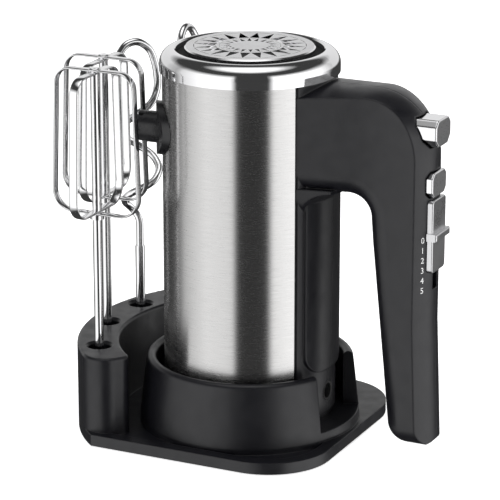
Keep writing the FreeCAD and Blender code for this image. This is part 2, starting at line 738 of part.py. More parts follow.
def bracket(z0, post_z, bush_z0):
    """Motor bracket: a diagonal bar with a bush seat and two posts that reach the stator."""
    bar = turned(box(-33, 33, -6, 6, z0, z0 + 3), 45)
    arms = box(-27, 27, -5.5, 5.5, z0, z0 + 3)
    pieces = [bar, arms, cyl(8, bush_z0, bush_z0 + 6)]
    low = min(z0, post_z)
    high = max(z0, post_z)
    for sign in (-1, 1):
        pieces.append(cyl(4, low, high, sign * BOLT_AT, sign * BOLT_AT))
    solid = fuse(pieces).cut(cyl(5, 30, 140))
    for sign in (-1, 1):
        solid = solid.cut(cyl(2.1, 30, 140, sign * BOLT_AT, sign * BOLT_AT))
    return solid


def write_motor_mounts():
    bush_rear = BRACKET_REAR - 3
    write("motor_bracket_rear", bracket(BRACKET_REAR, STATOR_BOTTOM, bush_rear))
    write("motor_bracket_front", bracket(BRACKET_FRONT, STATOR_TOP, BRACKET_FRONT))
    bushes = [ring(5, SHAFT_R + RUNNING_FIT, z, z + 6) for z in (bush_rear, BRACKET_FRONT)]
    write("motor_bushes", Part.Compound(bushes))
    bolts = []
    for sign in (-1, 1):
        at = sign * BOLT_AT
        bolts.append(cyl(1.9, BRACKET_REAR, BRACKET_FRONT + 5, at, at).fuse(
            cyl(3.6, BRACKET_REAR - 2.5, BRACKET_REAR, at, at)))
    write("motor_bolts", Part.Compound(bolts))

    holders = []
    brushes = []
    for turn in (0, 180):
        holder = box(11, 26, -4.5, 4.5, BRACKET_REAR + 3, 62)
        holder = holder.cut(box(10, 27, -2.6, 2.6, 55.4, 60.6))
        holders.append(turned(holder, turn))
        brushes.append(turned(box(9.1, 20, -2.5, 2.5, 55.5, 60.5), turn))
    write("brush_holders", Part.Compound(holders))
    write("carbon_brushes", Part.Compound(brushes))


# ---------------------------------------------------------------- stand

def plate_outline():
    """Flat plate seen from above: rounded on the grip side, bounded by the rack's arc on the other."""
    r = PLATE_CORNER_R
    k = r * (1 - math.sqrt(0.5))
    x1, y0, y1 = PLATE_RIGHT, PLATE_FRONT, PLATE_BACK
    left = -120
    sheet = face_of([
        line(V(left, y0, 0), V(x1 - r, y0, 0)),
        arc(V(x1 - r, y0, 0), V(x1 - k, y0 + k, 0), V(x1, y0 + r, 0)),
        line(V(x1, y0 + r, 0), V(x1, y1 - r, 0)),
        arc(V(x1, y1 - r, 0), V(x1 - k, y1 - k, 0), V(x1 - r, y1, 0)),
        line(V(x1 - r, y1, 0), V(left, y1, 0)),
        line(V(left, y1, 0), V(left, y0, 0)),
    ])
    disc = Part.Face(Part.Wire(Part.makeCircle(RACK_OUT_R, RACK_C)))
    return sheet.common(disc).Faces[0]


def rack_block(inset, z0, z1, corner_r, tip_r):
    """Curved rack block, with every side moved in by inset."""
    inset_deg = math.degrees(inset / RACK_IN_R)
    a0 = RACK_BACK_DEG + inset_deg
    a1 = RACK_FRONT_DEG - inset_deg
    mid = (a0 + a1) / 2
    r0 = RACK_IN_R + inset
    r1 = RACK_OUT_R - inset
    face = face_of([
        arc(polar(r0, a0, 0, RACK_C), polar(r0, mid, 0, RACK_C), polar(r0, a1, 0, RACK_C)),
        line(polar(r0, a1, 0, RACK_C), polar(r1, a1, 0, RACK_C)),
        arc(polar(r1, a1, 0, RACK_C), polar(r1, mid, 0, RACK_C), polar(r1, a0, 0, RACK_C)),
        line(polar(r1, a0, 0, RACK_C), polar(r0, a0, 0, RACK_C)),
    ])
    face.translate(V(0, 0, z0))
    solid = face.extrude(V(0, 0, z1 - z0))
    upright = edges_where(solid, lambda e: e.BoundBox.ZLength > z1 - z0 - 0.1)

    def radius_from_centre(edge):
        point = edge.Vertexes[0].Point - RACK_C
        return math.hypot(point.x, point.y)
    outer = [e for e in upright if radius_from_centre(e) > (RACK_IN_R + RACK_OUT_R) / 2]
    solid = solid.makeFillet(corner_r, outer)
    inner = edges_where(solid, lambda e: e.BoundBox.ZLength > z1 - z0 - 0.1
                        and abs(radius_from_centre(e) - r0) < 0.05)
    return solid.makeFillet(tip_r, inner)


def cup_ring():
    """Tapered cup wall with a rounded rim."""
    rim = (CUP_RIM_R - CUP_IN_R) / 2
    top = CUP_TOP
    return revolve([
        line(V(CUP_IN_R, 0, FOOT_H), V(CUP_FOOT_R, 0, FOOT_H)),
        line(V(CUP_FOOT_R, 0, FOOT_H), V(CUP_FOOT_R, 0, 8)),
        line(V(CUP_FOOT_R, 0, 8), V(CUP_RIM_R, 0, top - rim)),
        arc(V(CUP_RIM_R, 0, top - rim), V(CUP_RIM_R - rim, 0, top), V(CUP_IN_R, 0, top - rim)),
        line(V(CUP_IN_R, 0, top - rim), V(CUP_IN_R, 0, FOOT_H)),
    ])


def hole_centres():
    return [polar(HOLE_CIRCLE_R, deg, 0, RACK_C) for deg in HOLE_DEGS]


def write_stand():
    outline = plate_outline()
    slab = outline.copy()
    slab.translate(V(0, 0, FOOT_H))
    plate = slab.extrude(V(0, 0, PLATE_TOP - FOOT_H))
    trench = outline.makeOffset2D(-BORDER)
    trench.translate(V(0, 0, TRENCH_Z))
    plate = plate.cut(trench.extrude(V(0, 0, 10)).cut(box(0, 100, -20, 100, 0, 20)))
    rack = rack_block(0, FOOT_H, RACK_TOP, 12, 5)
    rack = rack.makeFillet(1.6, edges_where(rack, lambda e: e.BoundBox.ZMin > RACK_TOP - 0.01))
    cup = cup_ring().fuse(cyl(CUP_IN_R + 1, FOOT_H, BODY_BOTTOM))
    shell = fuse([plate, rack, cup])

    under = outline.makeOffset2D(-SKIN)
    under.translate(V(0, 0, -1))
    hollow = [
        under.extrude(V(0, 0, TRENCH_Z - SKIN + 1)),
        rack_block(SKIN, -1, RACK_TOP - SKIN, 9.8, 2.8),
        cyl(CUP_IN_R - SKIN, -1, BODY_BOTTOM - SKIN),
    ]
    wall_void = revolve([
        line(V(CUP_IN_R + SKIN, 0, -1), V(CUP_FOOT_R - SKIN, 0, -1)),
        line(V(CUP_FOOT_R - SKIN, 0, -1), V(CUP_FOOT_R - SKIN, 0, 7)),
        line(V(CUP_FOOT_R - SKIN, 0, 7), V(CUP_RIM_R - SKIN, 0, CUP_TOP - 4)),
        line(V(CUP_RIM_R - SKIN, 0, CUP_TOP - 4), V(CUP_IN_R + SKIN, 0, CUP_TOP - 4)),
        line(V(CUP_IN_R + SKIN, 0, CUP_TOP - 4), V(CUP_IN_R + SKIN, 0, -1)),
    ])
    hollow.append(wall_void.cut(sector(80, CUP_CUT_DEG + 3, 3, 60)))
    cavity = fuse(hollow)
    sockets = [cyl(HOLE_R + SKIN, COVER_TOP, RACK_TOP - 1, c.x, c.y) for c in hole_centres()]
    posts = [cyl(4.0, COVER_TOP, BODY_BOTTOM - 1, x, y) for x, y in SCREW_POSTS]
    cavity = cavity.cut(Part.Compound(sockets + posts))
    shell = shell.cut(cavity)

    cut = sector(80, CUP_CUT_DEG, BODY_BOTTOM, 60)
    shell = shell.cut(cut)
    for c in hole_centres():
        shell = shell.cut(cyl(HOLE_R, -1, RACK_TOP + 1, c.x, c.y))
        chamfer = Part.makeCone(HOLE_R, HOLE_R + 1.2, 1.2, V(c.x, c.y, RACK_TOP - 1.2), Z_AXIS)
        shell = shell.cut(chamfer)
    for x, y in SCREW_POSTS:
        shell = shell.cut(cyl(1.5, -1, 9.5, x, y))
    ribs = []
    for deg in (60, 110, 160, 200, 250, 300):
        rib = box(BODY_R + 0.4, CUP_IN_R + 1, -1, 1, BODY_BOTTOM - 0.5, 30)
        ribs.append(turned(rib, deg))
    shell = shell.multiFuse(ribs)
    write("stand_shell", shell)
    write_stand_underside(outline)


SCREW_POSTS = [(34, -34), (34, 34), (-34, -34), (-34, 34)]
FEET = [(0, 0), (38, -42), (38, 46), (-52, -50), (-60, 62)]


def write_stand_underside(outline):
    gap = SKIN + 0.3
    under = outline.makeOffset2D(-gap)
    under.translate(V(0, 0, FOOT_H))
    cover = under.extrude(V(0, 0, COVER_TOP - FOOT_H))
    cover = cover.fuse(rack_block(gap, FOOT_H, COVER_TOP, 10.5, 3.2)).removeSplitter()
    feet = []
    for x, y in FEET:
        cover = cover.cut(cyl(6.0, -1, FOOT_H + 0.8, x, y))
        feet.append(cyl(6.0, 0, FOOT_H + 0.8, x, y))
    screws = []
    for x, y in SCREW_POSTS:
        cover = cover.cut(cyl(1.6, -1, 10, x, y))
        cover = cover.cut(cyl(3.2, -1, FOOT_H + 1.0, x, y))
        screws.append(cyl(1.4, FOOT_H + 1.0, 9.0, x, y).fuse(cyl(2.9, FOOT_H + 0.1, FOOT_H + 1.0, x, y)))
    write("stand_bottom_cover", cover)
    write("stand_feet", Part.Compound(feet))
    write("stand_screws", Part.Compound(screws))


# ---------------------------------------------------------------- beaters and hooks

def loop_outline(half, z0, z1, top_r, low_r):
    """Rounded loop in the XZ plane, widest at the foot."""
    q = 1 - math.sqrt(0.5)
    head = half - CAGE_TAPER
    return face_of([
        line(V(-half + low_r, 0, z0), V(half - low_r, 0, z0)),
        arc(V(half - low_r, 0, z0), V(half - low_r * q, 0, z0 + low_r * q), V(half, 0, z0 + low_r)),
        line(V(half, 0, z0 + low_r), V(head, 0, z1 - top_r)),
        arc(V(head, 0, z1 - top_r), V(head - top_r * q, 0, z1 - top_r * q), V(head - top_r, 0, z1)),
        line(V(head - top_r, 0, z1), V(-head + top_r, 0, z1)),
        arc(V(-head + top_r, 0, z1), V(-head + top_r * q, 0, z1 - top_r * q), V(-head, 0, z1 - top_r)),
        line(V(-head, 0, z1 - top_r), V(-half, 0, z0 + low_r)),
        arc(V(-half, 0, z0 + low_r), V(-half + low_r * q, 0, z0 + low_r * q), V(-half + low_r, 0, z0)),
    ])


def strip_loop(half, z0, z1):
    outer = loop_outline(half, z0, z1, 9.0, 11.0)
    inner = loop_outline(half - STRIP_T, z0 + STRIP_T, z1 - STRIP_T, 9.0 - STRIP_T, 11.0 - STRIP_T)
    return extrude_y(outer.cut(inner), STRIP_W / 2)


def write_beater(name, x, y, top):
    z0 = top - CAGE_H
    shaft = cyl(BEATER_SHAFT_R, COVER_TOP + 0.1, top + 0.8, x, y)
    fins = box(x - 3.6, x + 3.6, y - 0.5, y + 0.5, 18, 24)
    collar = cyl(3.6, z0 - 2.2, z0, x, y)
    write(name + "_shaft", fuse([shaft, fins, collar]))
    outer = strip_loop(CAGE_HALF, z0, top)
    inner = turned(strip_loop(CAGE_HALF, z0 + STRIP_T, top - STRIP_T), 90)
    cage = Part.Compound([outer, inner])
    cage.translate(V(x, y, 0))
    write(name + "_cage", cage.cut(cyl(BEATER_SHAFT_R, 0, 250, x, y)))


def rounded_path(points):
    """Straight runs joined by tangent arcs, each as large as its runs allow."""
    edges = []
    start = points[0]
    for a, b, c in zip(points, points[1:], points[2:]):
        back = (a - b).normalize()
        ahead = (c - b).normalize()
        turn = math.pi - back.getAngle(ahead)
        cut = 0.45 * min(a.distanceToPoint(b), b.distanceToPoint(c))
        radius = cut / math.tan(turn / 2)
        first = b + back * cut
        last = b + ahead * cut
        bisector = (back + ahead).normalize()
        centre = b + bisector * (radius / math.cos(turn / 2))
        edges.append(line(start, first))
        edges.append(arc(first, centre - bisector * radius, last))
        start = last
    edges.append(line(start, points[-1]))
    return Part.Wire(edges)


def hook_wire(mirror, lift):
    """Spiral end of a dough hook about the Z axis: sideways, depth, height."""
    shape = [
        (0.0, 0.0, 84), (0.0, 0.5, 95), (-4.0, 2.5, 100), (-8.6, -1.0, 105), (-5.5, -5.6, 110),
        (2.0, -8.0, 114), (9.0, -6.0, 118), (11.3, 0.5, 123), (7.5, 8.0, 128), (-1.0, 10.8, 133),
        (-8.5, 7.0, 138.5), (-10.4, 0.0, 144), (-7.0, -4.8, 149.5), (0.5, -8.0, 155), (8.0, -6.0, 160.5),
        (10.6, 0.0, 168), (9.5, 4.0, 178), (6.5, 5.5, 187), (0.0, 3.5, 191.8), (-6.5, 0.5, 190.5),
        (-10.3, -2.0, 184.5),
    ]
    points = [V(mirror * side, depth, height + lift) for side, depth, height in shape]
    path = rounded_path(points)
    profile = Part.Wire(Part.makeCircle(HOOK_WIRE_R, points[0], Z_AXIS))
    return path.makePipeShell([profile], True, False)


def write_hook(name, x, y, mirror, lift, turn):
    wire = hook_wire(mirror, lift)
    shaft = cyl(HOOK_SHAFT_R, COVER_TOP + 0.1, 80 + lift)
    upper = cyl(HOOK_WIRE_R, 80 + lift, 84 + lift)
    fins = box(-3.8, 3.8, -0.5, 0.5, 18, 24)
    hook = shaft.multiFuse([upper, fins, wire])
    hook.rotate(V(0, 0, 0), Z_AXIS, turn)
    hook.translate(V(x, y, 0))
    write(name, hook)


def write_tools():
    c = hole_centres()
    write_beater("beater_1", c[0].x, c[0].y, 193.5)
    write_beater("beater_2", c[1].x, c[1].y, 191.5)
    write_hook("hook_1", c[2].x, c[2].y, 1, 0, 25)
    write_hook("hook_2", c[3].x, c[3].y, -1, 3.5, 115)


def main():
    os.makedirs("parts", exist_ok=True)
    write_stand()
    write_tools()
    write_sleeve()
    write_nose()
    write_rear_cap()
    write_cord_gland()
    write_eject()
    write_turbo()
    write_slider()
    write_collars()
    write_spindles()
    write_worm()
    write_gearbox()
    write_motor()
    write_motor_mounts()
    write_housing()


main()
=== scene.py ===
"""Looks of the hand mixer in its storage stand: materials, fine details, studio and camera. Metres."""

import math

import bmesh
import bpy
from mathutils import Matrix, Vector


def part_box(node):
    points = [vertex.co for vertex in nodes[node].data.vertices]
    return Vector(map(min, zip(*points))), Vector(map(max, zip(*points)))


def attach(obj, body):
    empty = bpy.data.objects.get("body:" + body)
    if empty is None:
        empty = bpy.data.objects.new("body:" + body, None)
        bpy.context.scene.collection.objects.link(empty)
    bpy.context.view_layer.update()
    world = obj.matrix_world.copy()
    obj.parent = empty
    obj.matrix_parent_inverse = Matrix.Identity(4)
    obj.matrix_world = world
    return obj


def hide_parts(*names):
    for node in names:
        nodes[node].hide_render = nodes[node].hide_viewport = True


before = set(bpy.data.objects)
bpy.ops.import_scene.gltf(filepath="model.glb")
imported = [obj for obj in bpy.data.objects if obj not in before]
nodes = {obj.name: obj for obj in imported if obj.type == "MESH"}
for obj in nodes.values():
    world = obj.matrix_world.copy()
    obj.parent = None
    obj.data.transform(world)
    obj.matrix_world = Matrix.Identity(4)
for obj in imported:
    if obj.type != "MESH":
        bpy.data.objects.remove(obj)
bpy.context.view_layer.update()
MM = 0.001


# ---------------------------------------------------------------- node helpers

def new_material(name):
    material = bpy.data.materials.new(name)
    material.use_nodes = True
    tree = material.node_tree
    shader = next(node for node in tree.nodes if node.type == "BSDF_PRINCIPLED")
    return material, tree, shader


def add(tree, kind, **inputs):
    node = tree.nodes.new(kind)
    for key, value in inputs.items():
        node.inputs[key.replace("_", " ")].default_value = value
    return node


def object_coords(tree, scale=(1, 1, 1)):
    coords = tree.nodes.new("ShaderNodeTexCoord")
    mapping = add(tree, "ShaderNodeMapping", Scale=scale)
    tree.links.new(coords.outputs["Object"], mapping.inputs["Vector"])
    return mapping.outputs["Vector"]


def noise(tree, vector, scale, detail=3.0, rough=0.5):
    node = add(tree, "ShaderNodeTexNoise", Scale=scale, Detail=detail, Roughness=rough)
    tree.links.new(vector, node.inputs["Vector"])
    return node.outputs["Fac"]


def remap(tree, value, low, high, from_low=0.3, from_high=0.7):
    node = add(tree, "ShaderNodeMapRange")
    node.inputs["From Min"].default_value = from_low
    node.inputs["From Max"].default_value = from_high
    node.inputs["To Min"].default_value = low
    node.inputs["To Max"].default_value = high
    tree.links.new(value, node.inputs["Value"])
    return node.outputs["Result"]


def blend_colours(tree, factor, low, high):
    node = tree.nodes.new("ShaderNodeMix")
    node.data_type = "RGBA"
    node.inputs["A"].default_value = (*low, 1)
    node.inputs["B"].default_value = (*high, 1)
    tree.links.new(factor, node.inputs["Factor"])
    return node.outputs["Result"]


def bump(tree, shader, height, distance, strength=1.0, edge=0.0):
    """Fine relief, over edges that look rounded to the radius given by edge."""
    node = add(tree, "ShaderNodeBump", Strength=strength, Distance=distance)
    if edge:
        rounded = add(tree, "ShaderNodeBevel", Radius=edge)
        rounded.samples = 6
        tree.links.new(rounded.outputs["Normal"], node.inputs["Normal"])
    tree.links.new(height, node.inputs["Height"])
    tree.links.new(node.outputs["Normal"], shader.inputs["Normal"])


# ---------------------------------------------------------------- materials

def moulded_plastic(name, colour, rough, grain=0.00002, grain_scale=2600.0, spread=0.35, edge=0.0):
    """Injection-moulded plastic: fine spark-eroded grain, slight tone and gloss variation."""
    material, tree, shader = new_material(name)
    at = object_coords(tree)
    cloud = noise(tree, at, 38.0, 4.0)
    low = tuple(c * (1 - spread / 2) for c in colour)
    high = tuple(c * (1 + spread / 2) for c in colour)
    tree.links.new(blend_colours(tree, cloud, low, high), shader.inputs["Base Color"])
    smear = noise(tree, at, 140.0, 2.0)
    tree.links.new(remap(tree, smear, rough - 0.05, rough + 0.05), shader.inputs["Roughness"])
    bump(tree, shader, noise(tree, at, grain_scale, 1.0), grain, edge=edge)
    shader.inputs["Specular IOR Level"].default_value = 0.5
    return material


def brushed_sheet(name, colour, rough):
    """Stainless sheet brushed round the body: long level scratches that vary fast with height."""
    material, tree, shader = new_material(name)
    coords = tree.nodes.new("ShaderNodeTexCoord")
    split = tree.nodes.new("ShaderNodeSeparateXYZ")
    tree.links.new(coords.outputs["Object"], split.inputs["Vector"])
    angle = tree.nodes.new("ShaderNodeMath")
    angle.operation = "ARCTAN2"
    tree.links.new(split.outputs["Y"], angle.inputs[0])
    tree.links.new(split.outputs["X"], angle.inputs[1])
    join = tree.nodes.new("ShaderNodeCombineXYZ")
    tree.links.new(angle.outputs["Value"], join.inputs["X"])
    tree.links.new(split.outputs["Z"], join.inputs["Z"])
    stretch = add(tree, "ShaderNodeMapping", Scale=(4.0, 1, 3200.0))
    tree.links.new(join.outputs["Vector"], stretch.inputs["Vector"])
    fine = noise(tree, stretch.outputs["Vector"], 1.0, 4.0, 0.75)
    coarse_map = add(tree, "ShaderNodeMapping", Scale=(4.0, 1, 1400.0))
    tree.links.new(join.outputs["Vector"], coarse_map.inputs["Vector"])
    coarse = noise(tree, coarse_map.outputs["Vector"], 1.0, 3.0, 0.6)
    low = tuple(c * 0.76 for c in colour)
    tree.links.new(blend_colours(tree, fine, low, colour), shader.inputs["Base Color"])
    tree.links.new(remap(tree, coarse, rough - 0.03, rough + 0.05), shader.inputs["Roughness"])
    bump(tree, shader, fine, 0.0000007, 0.3)
    shader.inputs["Metallic"].default_value = 1.0
    shader.inputs["Anisotropic"].default_value = 0.85
    shader.inputs["Anisotropic Rotation"].default_value = 0.25
    return material


def plated(name, colour, rough, haze=0.03):
    """Chrome plate: mirror bright with faint wiping haze and orange peel."""
    material, tree, shader = new_material(name)
    at = object_coords(tree)
    tree.links.new(blend_colours(tree, noise(tree, at, 55.0), tuple(c * 0.96 for c in colour), colour),
                   shader.inputs["Base Color"])
    tree.links.new(remap(tree, noise(tree, at, 90.0, 5.0), rough, rough + haze), shader.inputs["Roughness"])
    bump(tree, shader, noise(tree, at, 320.0, 1.0), 0.000003, 0.6)
    shader.inputs["Metallic"].default_value = 1.0
    return material


def button_metal(name, colour):
    """Plated button: satin on the faces that point out of the grip, polished round its sides."""
    material, tree, shader = new_material(name)
    coords = tree.nodes.new("ShaderNodeTexCoord")
    split = tree.nodes.new("ShaderNodeSeparateXYZ")
    tree.links.new(coords.outputs["Normal"], split.inputs["Vector"])
    face = remap(tree, split.outputs["X"], 0.0, 1.0, 0.80, 0.93)
    haze = noise(tree, object_coords(tree), 1400.0, 2.0)
    satin = remap(tree, haze, 0.27, 0.33)
    mix = tree.nodes.new("ShaderNodeMix")
    mix.inputs["A"].default_value = 0.07
    tree.links.new(face, mix.inputs["Factor"])
    tree.links.new(satin, mix.inputs["B"])
    tree.links.new(mix.outputs["Result"], shader.inputs["Roughness"])
    satin_colour = tuple(c * 0.82 for c in colour)
    tree.links.new(blend_colours(tree, face, colour, satin_colour), shader.inputs["Base Color"])
    bump(tree, shader, haze, 0.000003, 0.4, edge=0.6 * MM)
    shader.inputs["Metallic"].default_value = 1.0
    return material


def machined(name, colour, rough, scale=900.0):
    """Turned or cut metal with fine tool marks along the mixer's axis."""
    material, tree, shader = new_material(name)
    at = object_coords(tree, (0.3, 0.3, 1.0))
    marks = noise(tree, at, scale, 3.0)
    low = tuple(c * 0.8 for c in colour)
    tree.links.new(blend_colours(tree, marks, low, colour), shader.inputs["Base Color"])
    tree.links.new(remap(tree, marks, rough - 0.05, rough + 0.08), shader.inputs["Roughness"])
    bump(tree, shader, marks, 0.00001, 0.4)
    shader.inputs["Metallic"].default_value = 1.0
    return material


def wound_wire(name, colour):
    """Enamelled wire: close parallel ridges along the winding."""
    material, tree, shader = new_material(name)
    at = object_coords(tree)
    wave = add(tree, "ShaderNodeTexWave", Scale=900.0, Distortion=1.2)
    wave.bands_direction = "DIAGONAL"
    tree.links.new(at, wave.inputs["Vector"])
    tree.links.new(blend_colours(tree, wave.outputs["Fac"], tuple(c * 0.45 for c in colour), colour),
                   shader.inputs["Base Color"])
    bump(tree, shader, wave.outputs["Fac"], 0.0002, 0.8)
    shader.inputs["Metallic"].default_value = 0.8
    shader.inputs["Roughness"].default_value = 0.35
    return material


def laminated(name, colour):
    """Stack of punched sheets: thin dark lines between the layers."""
    material, tree, shader = new_material(name)
    at = object_coords(tree)
    wave = add(tree, "ShaderNodeTexWave", Scale=320.0, Distortion=0.0)
    wave.bands_direction = "Z"
    tree.links.new(at, wave.inputs["Vector"])
    tree.links.new(blend_colours(tree, wave.outputs["Fac"], tuple(c * 0.4 for c in colour), colour),
                   shader.inputs["Base Color"])
    bump(tree, shader, wave.outputs["Fac"], 0.0001, 0.7)
    shader.inputs["Metallic"].default_value = 0.9
    shader.inputs["Roughness"].default_value = 0.45
    return material


BLACK = (0.0050, 0.0050, 0.0068)
black_plastic = moulded_plastic("black_plastic", BLACK, 0.34, edge=1.3 * MM)
stand_plastic = moulded_plastic("stand_plastic", (0.0050, 0.0050, 0.0068), 0.36, edge=0.8 * MM)
collar_plastic = moulded_plastic("collar_plastic", (0.007, 0.007, 0.008), 0.28)
groove_black = moulded_plastic("groove_black", (0.003, 0.003, 0.003), 0.75)

rubber = moulded_plastic("soft_rubber", (0.012, 0.012, 0.012), 0.75, 0.00004, 1600.0)
nylon = moulded_plastic("natural_nylon", (0.58, 0.55, 0.48), 0.42)
steel_sheet = brushed_sheet("brushed_steel", (0.66, 0.655, 0.65), 0.24)
chrome = plated("chrome", (0.88, 0.88, 0.89), 0.07)
wire_chrome = plated("wire_chrome", (0.86, 0.86, 0.87), 0.07)
button_chrome = button_metal("button_chrome", (0.84, 0.84, 0.85))
satin_chrome = plated("satin_chrome", (0.66, 0.66, 0.67), 0.26, 0.06)
frosted_chrome = plated("frosted_chrome", (0.90, 0.90, 0.91), 0.33, 0.05)
ground_steel = machined("ground_steel", (0.56, 0.56, 0.57), 0.24)
bronze = machined("sintered_bronze", (0.50, 0.33, 0.16), 0.45, 1500.0)
copper = wound_wire("copper_wire", (0.62, 0.26, 0.11))
laminate = laminated("laminated_steel", (0.22, 0.22, 0.23))
carbon = moulded_plastic("carbon_block", (0.03, 0.03, 0.03), 0.6, 0.00005, 1800.0)
board = moulded_plastic("circuit_board", (0.03, 0.15, 0.05), 0.3, 0.00002, 900.0)
numeral_ink = moulded_plastic("numeral_ink", (0.72, 0.72, 0.72), 0.5, 0.00001, 1500.0, 0.1)

FINISHES = {
    black_plastic: ["housing_left", "housing_right", "rear_cap"],
    stand_plastic: ["stand_shell", "stand_bottom_cover"],
    collar_plastic: ["socket_collar_left", "socket_collar_right"],
    groove_black: ["nose_plate", "slider_track", "speed_switch", "turbo_switch"],
    rubber: ["stand_feet", "cord_gland"],
    nylon: ["gear_frame", "gear_cover", "worm_wheel_left", "worm_wheel_right", "cooling_fan",
            "motor_bracket_front", "motor_bracket_rear", "brush_holders", "contact_carriage",
            "ejector_yoke", "eject_rod", "eject_rod_guide"],
    steel_sheet: ["steel_sleeve"],
    chrome: ["nose_ring", "nose_medallion"],
    button_chrome: ["eject_button", "turbo_button"],
    wire_chrome: ["beater_1_shaft", "beater_1_cage", "beater_2_shaft", "beater_2_cage", "hook_1", "hook_2"],
    satin_chrome: ["speed_slider"],
    ground_steel: ["stand_screws", "housing_screws", "motor_bolts", "motor_shaft", "worm", "spindle_left",
                   "spindle_right", "eject_spring"],
    bronze: ["motor_bushes", "spindle_bushes"],
    copper: ["field_coils", "armature_windings", "commutator"],
    laminate: ["motor_stator", "armature_core"],
    carbon: ["carbon_brushes"],
    board: ["contact_board"],
}


def paint_frame():
    for material, names in FINISHES.items():
        for name in names:
            slots = nodes[name].data.materials
            slots.clear()
            slots.append(material)


# ---------------------------------------------------------------- pieces

def new_piece(name, mesh_data, body, materials):
    piece = bpy.data.objects.new(name, mesh_data)
    bpy.context.scene.collection.objects.link(piece)
    for material in materials:
        piece.data.materials.append(material)
    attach(piece, body)
    return piece


def polar(r, angle, z):
    return Vector((r * math.cos(angle), r * math.sin(angle), z))


def medallion():
    """Frosted disc with a polished edge and two rings of sunk triangular facets that point outwards."""
    low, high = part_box("nose_medallion")
    rim = (high.x - low.x) / 2
    top = high.z
    count = 20
    cells = 12
    parts = count * cells
    edge = 0.7 * MM
    step = 2 * math.pi / count
    # base radius, tip radius, half width, depth, and turn as a part of a step
    inner_ring = (0.30 * rim, 0.47 * rim, 0.34 * step, 1.5 * MM, 0.5)
    outer_ring = (0.52 * rim, 0.86 * rim, 0.47 * step, 3.7 * MM, 0.0)
    polished, frosted = 0, 1
    mesh = bmesh.new()

    def face(points, material):
        mesh.faces.new([mesh.verts.new(p) for p in points]).material_index = material

    def sectors():
        for i in range(parts):
            yield 2 * math.pi * i / parts, 2 * math.pi * (i + 1) / parts

    def band(r0, z0, r1, z1, material):
        for p, q in sectors():
            face((polar(r0, p, z0), polar(r1, p, z1), polar(r1, q, z1), polar(r0, q, z0)), material)

    def level_fan(r, start, end, tip):
        """Level surface from a short arc to the tip of a facet."""
        row = [polar(r, start + (end - start) * i / cells, top) for i in range(cells + 1)]
        for p, q in zip(row, row[1:]):
            face((p, q, tip), frosted)

    for p, q in sectors():
        face((Vector((0, 0, top)), polar(inner_ring[0], p, top), polar(inner_ring[0], q, top)), frosted)
    for r_base, r_tip, half, depth, offset in (inner_ring, outer_ring):
        for i in range(count):
            a = step * (i + offset)
            left, right = a - half, a + half
            base_left, base_right = polar(r_base, left, top), polar(r_base, right, top)
            base_mid = polar(r_base, a, top - 0.1 * depth)
            tip, pit = polar(r_tip, a, top), polar(r_tip * 0.985, a, top - depth)
            next_tip = polar(r_tip, a + step, top)
            face((base_left, base_mid, pit), polished)
            face((base_mid, base_right, pit), polished)
            face((base_left, pit, tip), polished)
            face((pit, base_right, tip), polished)
            level_fan(r_base, right, left + step, next_tip)
            face((base_right, next_tip, tip), frosted)
    band(inner_ring[1], top, outer_ring[0], top, frosted)
    band(outer_ring[1], top, rim - edge, top, frosted)
    band(rim - edge, top, rim, top - edge, polished)
    band(rim, top - edge, rim, low.z, polished)
    bmesh.ops.remove_doubles(mesh, verts=mesh.verts, dist=0.01 * MM)
    data = bpy.data.meshes.new("nose_sunburst")
    mesh.to_mesh(data)
    mesh.free()
    piece = new_piece("nose_sunburst", data, "mixer", (chrome, frosted_chrome))
    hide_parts("nose_medallion")


def numerals():
    """Speed numbers down the crowned face beside the slider, in the slider's steps."""
    slider_low, slider_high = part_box("speed_slider")
    zero_z = (slider_low.z + slider_high.z) / 2 - 1.2 * MM
    pitch = 5.2 * MM
    crown_r = 23.0 * MM
    face_x = 102.8 * MM
    at_y = -11.0 * MM
    lean = math.asin(-at_y / crown_r)
    at_x = face_x - crown_r * (1 - math.cos(lean)) + 0.06 * MM
    for number in range(6):
        curve = bpy.data.curves.new("numeral_%d" % number, "FONT")
        curve.body = str(number)
        curve.size = 4.3 * MM
        curve.align_x = "CENTER"
        curve.align_y = "CENTER"
        curve.extrude = 0.03 * MM
        piece = bpy.data.objects.new("numeral_%d" % number, curve)
        bpy.context.scene.collection.objects.link(piece)
        piece.data.materials.append(numeral_ink)
        turn = Matrix.Rotation(-lean, 4, "Z") @ Matrix.Rotation(math.pi / 2, 4, "Z") @ Matrix.Rotation(
            math.pi / 2, 4, "X")
        piece.matrix_world = Matrix.Translation((at_x, at_y, zero_z - pitch * number)) @ turn
        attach(piece, "mixer")


def corner(centre_x, centre_z, r, start, end, steps=10):
    """Points along an arc in the loop's own plane, angles in degrees from +X."""
    angles = [math.radians(start + (end - start) * i / steps) for i in range(steps + 1)]
    return [(centre_x + r * math.cos(a), centre_z + r * math.sin(a)) for a in angles]


SECTION_POINTS = 16


